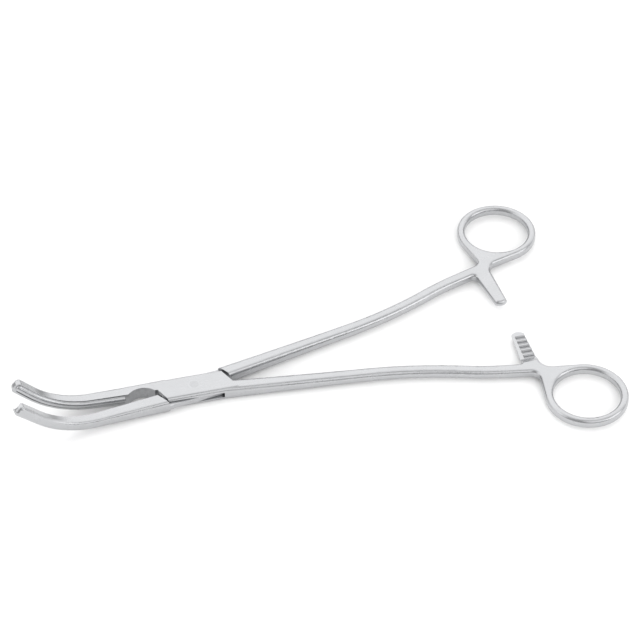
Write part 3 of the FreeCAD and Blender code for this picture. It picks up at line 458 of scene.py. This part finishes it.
@dataclass(frozen=True)
class SteelFinish:
    """Satin polished stainless steel of one piece.

    Args:
        name: the material's name.
        lean: angle by which the piece is turned about the pivot at rest, in degrees.
        ring_centre: middle of the finger ring before that turn, in metres.
        ring_reach: distance from it up to which the belt ran round, in metres.
        ring_blend: half the width in which the two grains change over, in metres.
        colour: reflected colour of the clean metal.
        painted_crevice_shade: colour of the painted shade in grooves and joints.
        crevice_reach: how near the opposite wall of a groove has to be, in metres.
        crevice_amount: strength of the painted shade and added roughness in grooves.
        edge_amount: strength of the rubbed edges.
        roughness: roughness of the plain areas.
        fineness: grain lines per metre across the grain.
        grain_height: depth of the grain lines, in metres.
        weights: how strongly each pattern shows.
    """

    name: str
    lean: float = 0.0
    ring_centre: Optional[Span] = None
    ring_reach: float = 0.0185
    ring_blend: float = 0.0012
    colour: Colour = (0.5, 0.505, 0.517)
    # painted shade: near-black colour laid into grooves and joints
    painted_crevice_shade: Colour = (0.1, 0.103, 0.108)
    crevice_reach: float = 0.0016
    crevice_amount: float = 0.85
    edge_amount: float = 1.0
    roughness: float = 0.26
    fineness: float = 9000.0
    grain_height: float = 0.000004
    weights: PatternWeights = PatternWeights()

    def material(self) -> bpy.types.Material:
        """Builds the material.

        Returns:
            The material, ready for a slot.
        """
        material = bpy.data.materials.new(self.name)
        material.use_nodes = True
        material.node_tree.nodes.clear()
        sheet = NodeSheet(material.node_tree)
        patterns = self.patterns(sheet)
        steel = sheet.node("ShaderNodeBsdfPrincipled")
        steel.inputs["Metallic"].default_value = 1.0
        sheet.feed(steel.inputs["Base Color"], self.tint(sheet, patterns))
        sheet.feed(steel.inputs["Roughness"], self.gloss(sheet, patterns))
        sheet.feed(steel.inputs["Normal"], self.relief(sheet, patterns))
        output = sheet.node("ShaderNodeOutputMaterial")
        sheet.feed(output.inputs["Surface"], steel.outputs["BSDF"])
        return material

    def patterns(self, sheet: NodeSheet) -> Patterns:
        """Places the shared groups.

        Args:
            sheet: where the nodes go.

        Returns:
            What the groups put out.
        """
        place = self.place(sheet)
        lines, streaks = self.grain(sheet, place)
        clouds = sheet.group(GroupName.CLOUDS, Vector=place)
        scratches = sheet.group(GroupName.SCRATCHES, Vector=place)
        edges = sheet.group(GroupName.EDGES, Vector=place, Amount=self.edge_amount)
        crevices = sheet.group(GroupName.CREVICES, Reach=self.crevice_reach,
                               Amount=self.crevice_amount)
        return Patterns(lines, streaks, clouds.outputs["Clouds"], clouds.outputs["Specks"],
                        scratches.outputs["Scratches"], edges.outputs["Edges"],
                        crevices.outputs["Crevices"])

    def tint(self, sheet: NodeSheet, seen: Patterns) -> Socket:
        """Colours the steel: darker streaks and scratches, brighter edges, and painted shade in
        grooves.

        Args:
            sheet: where the nodes go.
            seen: the patterns.

        Returns:
            The colour's socket.
        """
        share = self.weights
        base = (*self.colour, 1.0)
        darker = (*(channel * share.dark_tone for channel in self.colour), 1.0)
        brighter = (*(min(1.0, channel * share.bright_tone) for channel in self.colour), 1.0)
        tone = sheet.math("ADD", sheet.math("MULTIPLY", seen.streaks, share.streaks_tone),
                          sheet.math("MULTIPLY", seen.clouds, share.clouds_tone))
        colour = sheet.mix(tone, darker, base)
        rubbed = sheet.math("MULTIPLY", seen.edges, share.edges_tone)
        colour = sheet.mix(rubbed, colour, brighter)
        scratched = sheet.math("MULTIPLY", seen.scratches, share.scratches_tone)
        colour = sheet.mix(scratched, colour, darker)
        # painted shade: the ambient-occlusion mask darkens grooves and joints toward a near-black
        # colour
        return sheet.mix(seen.crevices, colour, (*self.painted_crevice_shade, 1.0))

    def gloss(self, sheet: NodeSheet, seen: Patterns) -> Socket:
        """Adds the roughness of grain, clouds and grooves, and takes off that of rubbed edges.

        Args:
            sheet: where the nodes go.
            seen: the patterns.

        Returns:
            The roughness socket.
        """
        share = self.weights
        rough = sheet.math("ADD", self.roughness - share.rough_start,
                           sheet.math("MULTIPLY", seen.lines, share.lines_rough))
        rough = sheet.math("ADD", rough, sheet.math("MULTIPLY", seen.clouds, share.clouds_rough))
        rough = sheet.math("ADD", rough,
                           sheet.math("MULTIPLY", seen.crevices, share.crevices_rough))
        rubbed = sheet.math("MULTIPLY", seen.edges, share.edges_rough)
        return sheet.math("SUBTRACT", rough, rubbed, clamp=True)

    def relief(self, sheet: NodeSheet, seen: Patterns) -> Socket:
        """Turns grain, scratches and specks into small heights.

        Args:
            sheet: where the nodes go.
            seen: the patterns.

        Returns:
            The socket of the changed normal.
        """
        share = self.weights
        height = sheet.math("ADD", seen.lines,
                            sheet.math("MULTIPLY", seen.scratches, share.scratches_height))
        height = sheet.math("ADD", height,
                            sheet.math("MULTIPLY", seen.specks, share.specks_height))
        bump = sheet.node("ShaderNodeBump")
        bump.inputs["Strength"].default_value = share.bump
        bump.inputs["Distance"].default_value = self.grain_height
        sheet.feed(bump.inputs["Height"], height)
        return bump.outputs["Normal"]

    def place(self, sheet: NodeSheet) -> Socket:
        """Turns the Object coordinates so that X runs along the piece.

        Args:
            sheet: where the nodes go.

        Returns:
            The turned coordinates.
        """
        source = sheet.node("ShaderNodeTexCoord")
        turned = sheet.node("ShaderNodeVectorRotate", rotation_type="Z_AXIS")
        sheet.feed(turned.inputs["Vector"], source.outputs["Object"])
        turned.inputs["Angle"].default_value = math.radians(-self.lean)
        return turned.outputs["Vector"]

    def grain(self, sheet: NodeSheet, place: Socket) -> tuple[Socket, Socket]:
        """Draws belt grain, lengthwise and round the finger ring.

        Args:
            sheet: where the nodes go.
            place: coordinates of the piece before its turn about the pivot.

        Returns:
            The fine lines and the wider streaks.
        """
        along = sheet.group(GroupName.GRAIN, Vector=place, Fineness=self.fineness)
        if self.ring_centre is None:
            return along.outputs["Lines"], along.outputs["Streaks"]
        x, y = self.ring_centre
        shifted = sheet.node("ShaderNodeVectorMath", operation="SUBTRACT")
        sheet.feed(shifted.inputs[0], place)
        shifted.inputs[1].default_value = (x, y, 0.0)
        parts = sheet.node("ShaderNodeSeparateXYZ")
        sheet.feed(parts.inputs[0], shifted.outputs[0])
        reach = sheet.math("SQRT", sheet.math(
            "ADD", sheet.math("POWER", parts.outputs["X"], 2.0),
            sheet.math("POWER", parts.outputs["Y"], 2.0)))
        angle = sheet.math("ARCTAN2", parts.outputs["Y"], parts.outputs["X"])
        polar = sheet.node("ShaderNodeCombineXYZ")
        sheet.feed(polar.inputs["X"], sheet.math("MULTIPLY", angle, self.ring_reach))
        sheet.feed(polar.inputs["Y"], reach)
        sheet.feed(polar.inputs["Z"], parts.outputs["Z"])
        around = sheet.group(GroupName.GRAIN, Vector=polar.outputs[0], Fineness=self.fineness)
        on_ring = sheet.remap(reach, self.ring_reach + self.ring_blend,
                              self.ring_reach - self.ring_blend)
        both = []
        for label in ("Lines", "Streaks"):
            item = sheet.node("ShaderNodeMix", data_type="FLOAT")
            sheet.feed(item.inputs["Factor"], on_ring)
            sheet.feed(item.inputs["A"], along.outputs[label])
            sheet.feed(item.inputs["B"], around.outputs[label])
            both.append(item.outputs["Result"])
        return both[0], both[1]


@dataclass
class SteelPiece:
    """One forged or turned piece of the instrument, as the frame holds it.

    Args:
        node: name of the piece in the frame.
        finish: its steel.
    """

    node: str
    finish: SteelFinish

    def dress(self) -> bpy.types.Object:
        """Puts the finish in every material slot of the piece.

        Returns:
            The piece's object.
        """
        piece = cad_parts[self.node]
        material = self.finish.material()
        for slot in piece.material_slots:
            slot.material = material
        return piece


@dataclass
class Forceps:
    """The whole instrument: two halves and their pivot pin.

    Args:
        lean: angle by which each half is turned about the pivot at rest, in degrees.
        ring: middle of the upper finger ring before that turn, in metres.
        pin_fineness: grain lines per metre on the ground end of the pin.
        pin_colour: reflected colour of the pin.
        pieces: the pieces with their finishes.
    """

    lean: float = 3.85
    ring: Span = (0.1513, 0.0412)
    pin_fineness: float = 14000.0
    pin_colour: Colour = (0.47, 0.475, 0.487)
    pieces: list[SteelPiece] = field(default_factory=list)

    def assemble(self) -> None:
        """Lists the pieces with their finishes."""
        x, y = self.ring
        self.pieces = [
            SteelPiece("box_half", SteelFinish("steel_of_box_half", -self.lean, (x, -y))),
            SteelPiece("through_half", SteelFinish("steel_of_through_half", self.lean, (x, y))),
            SteelPiece("pivot_pin", SteelFinish("steel_of_pin", -self.lean,
                                                fineness=self.pin_fineness,
                                                colour=self.pin_colour)),
        ]

    def dress(self) -> None:
        """Dresses every piece."""
        for item in self.pieces:
            piece = item.dress()
            logger.info("dressed %s with %s", piece.name, item.finish.name)


@dataclass
class SoftBox:
    """One large soft lamp aimed at a point.

    Args:
        name: the lamp's name.
        place: where it hangs, in metres.
        aim: what it points at.
        width: its size, in metres.
        power: its power, in watts.
        mirrored: whether the metal shows it.
    """

    name: str
    place: Place
    aim: Place
    width: float
    power: float
    mirrored: bool = True

    def hang(self) -> bpy.types.Object:
        """Makes the lamp.

        Returns:
            The lamp's object.
        """
        lamp = bpy.data.lights.new(self.name, "AREA")
        lamp.shape = "SQUARE"
        lamp.size = self.width
        lamp.energy = self.power
        holder = bpy.data.objects.new(self.name, lamp)
        bpy.context.scene.collection.objects.link(holder)
        holder.location = self.place
        holder.visible_camera = False
        holder.visible_glossy = self.mirrored
        away = Vector(self.aim) - Vector(self.place)
        holder.rotation_euler = away.to_track_quat("-Z", "Y").to_euler()
        return holder


@dataclass
class Studio:
    """Pale floor, soft light and the camera at the photograph's viewing angle.

    Args:
        floor_width: side of the square floor, in metres.
        floor_drop: how far the floor lies under the instrument, in metres.
        floor_colour: the floor's own colour.
        floor_glow: light that the floor adds for rays that show the backdrop.
        sky_front: strength of the room in front of the instrument.
        sky_back: strength of the pale wall behind it.
        sky_turn: how far the change from front to back reaches either way.
        sky_rim: how much darker the band low behind the instrument is.
        rim_heights: how far upwards one looks where that band begins and where it is full.
        rim_depths: how far backwards one looks where that band begins and where it is full.
        camera_place: where the camera stands, in metres.
        camera_axes: the camera's own X, Y and Z directions.
        camera_lens: its focal length, in millimetres.
        camera_clip: nearest and farthest distance that it sees, in metres.
        lamps: the soft lamps.
    """

    floor_width: float = 8.0
    floor_drop: float = 0.0001
    floor_colour: Colour = (0.84, 0.84, 0.84)
    floor_glow: float = 0.12
    sky_front: float = 0.5
    sky_back: float = 1.58
    sky_turn: float = 0.5
    sky_rim: float = 0.85
    rim_heights: Span = (0.34, 0.06)
    rim_depths: Span = (0.1, 0.5)
    camera_place: Place = (-0.17606, -0.71258, 0.73373)
    camera_axes: tuple[Place, Place, Place] = (
        (0.9521, -0.3058, 0.0),
        (0.2101, 0.6542, 0.7266),
        (-0.2222, -0.6918, 0.6871),
    )
    camera_lens: float = 145.4
    camera_clip: Span = (0.01, 50.0)
    lamps: tuple[SoftBox, ...] = (
        SoftBox("lamp_front", (0.24, -0.8, 0.8), (0.05, 0.0, 0.0), 0.9, 2.3),
        SoftBox("lamp_left", (-0.9, -0.1, 0.6), (0.0, 0.0, 0.0), 0.5, 0.6),
        SoftBox("lamp_right", (0.9, -0.6, 0.5), (0.0, 0.0, 0.0), 0.7, 2.4),
        SoftBox("lamp_low", (0.1, -1.0, 0.4), (0.0, 0.0, 0.0), 0.5, 7.0, mirrored=False),
    )

    def build(self) -> None:
        """Makes the floor, the world, the lamps and the camera."""
        self.floor()
        self.sky()
        for lamp in self.lamps:
            lamp.hang()
        self.camera()

    def seen(self, sheet: NodeSheet) -> Socket:
        """Tells the rays that show the backdrop: camera, glossy and transmission rays.

        Args:
            sheet: where the nodes go.

        Returns:
            A socket that is 1 for those rays and 0 for all others.
        """
        rays = sheet.node("ShaderNodeLightPath")
        glossy = sheet.math("MAXIMUM", rays.outputs["Is Glossy Ray"],
                            rays.outputs["Is Transmission Ray"])
        return sheet.math("MAXIMUM", rays.outputs["Is Camera Ray"], glossy)

    def floor(self) -> None:
        """Lays a wide pale floor under the instrument."""
        bpy.ops.mesh.primitive_plane_add(size=self.floor_width,
                                         location=(0.0, 0.0, -self.floor_drop))
        floor = bpy.context.object
        floor.name = "floor"
        material = bpy.data.materials.new("pale_floor")
        material.use_nodes = True
        material.node_tree.nodes.clear()
        sheet = NodeSheet(material.node_tree)
        matt = sheet.node("ShaderNodeBsdfDiffuse")
        matt.inputs["Color"].default_value = (*self.floor_colour, 1.0)
        glow = sheet.node("ShaderNodeEmission")
        glow.inputs["Color"].default_value = WHITE
        sheet.feed(glow.inputs["Strength"],
                   sheet.math("MULTIPLY", self.seen(sheet), self.floor_glow))
        both = sheet.node("ShaderNodeAddShader")
        sheet.feed(both.inputs[0], matt.outputs[0])
        sheet.feed(both.inputs[1], glow.outputs[0])
        output = sheet.node("ShaderNodeOutputMaterial")
        sheet.feed(output.inputs["Surface"], both.outputs[0])
        floor.data.materials.append(material)
        floor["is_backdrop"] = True

    def sky(self) -> None:
        """Lights the room: a pale wall behind with a dark band low on it, dimmer in front."""
        world = bpy.data.worlds.new("studio")
        bpy.context.scene.world = world
        world.use_nodes = True
        world.node_tree.nodes.clear()
        sheet = NodeSheet(world.node_tree)
        source = sheet.node("ShaderNodeTexCoord")
        parts = sheet.node("ShaderNodeSeparateXYZ")
        sheet.feed(parts.inputs[0], source.outputs["Generated"])
        level = sheet.remap(parts.outputs["Y"], -self.sky_turn, self.sky_turn,
                            self.sky_front, self.sky_back)
        below = sheet.remap(parts.outputs["Z"], *self.rim_heights)
        behind = sheet.remap(parts.outputs["Y"], *self.rim_depths)
        rim = sheet.math("MULTIPLY", sheet.math("MULTIPLY", below, behind), self.sky_rim)
        level = sheet.math("MULTIPLY", level, sheet.math("SUBTRACT", 1.0, rim))
        light = sheet.node("ShaderNodeBackground")
        light.inputs["Color"].default_value = WHITE
        sheet.feed(light.inputs["Strength"], level)
        output = sheet.node("ShaderNodeOutputWorld")
        sheet.feed(output.inputs["Surface"], light.outputs[0])

    def camera(self) -> None:
        """Sets the camera where the photograph was taken from."""
        data = bpy.data.cameras.new("camera")
        data.lens = self.camera_lens
        data.clip_start, data.clip_end = self.camera_clip
        camera = bpy.data.objects.new("camera", data)
        bpy.context.scene.collection.objects.link(camera)
        turned = Matrix(self.camera_axes).transposed().to_4x4()
        camera.matrix_world = Matrix.Translation(Vector(self.camera_place)) @ turned
        bpy.context.scene.camera = camera


def main() -> None:
    """Builds the finishes, the instrument and the studio in order."""
    logging.basicConfig(level=logging.INFO)
    before = [corner.copy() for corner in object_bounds()]
    for group in (GrainGroup, CloudsGroup, ScratchesGroup, EdgesGroup, CrevicesGroup):
        group().build()
        logger.info("built the group %s", group.name.value)
    forceps = Forceps()
    forceps.assemble()
    forceps.dress()
    Studio().build()
    bpy.context.scene.view_settings.view_transform = "Standard"
    [corner.copy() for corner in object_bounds()]


if __name__ == "__main__":
    main()
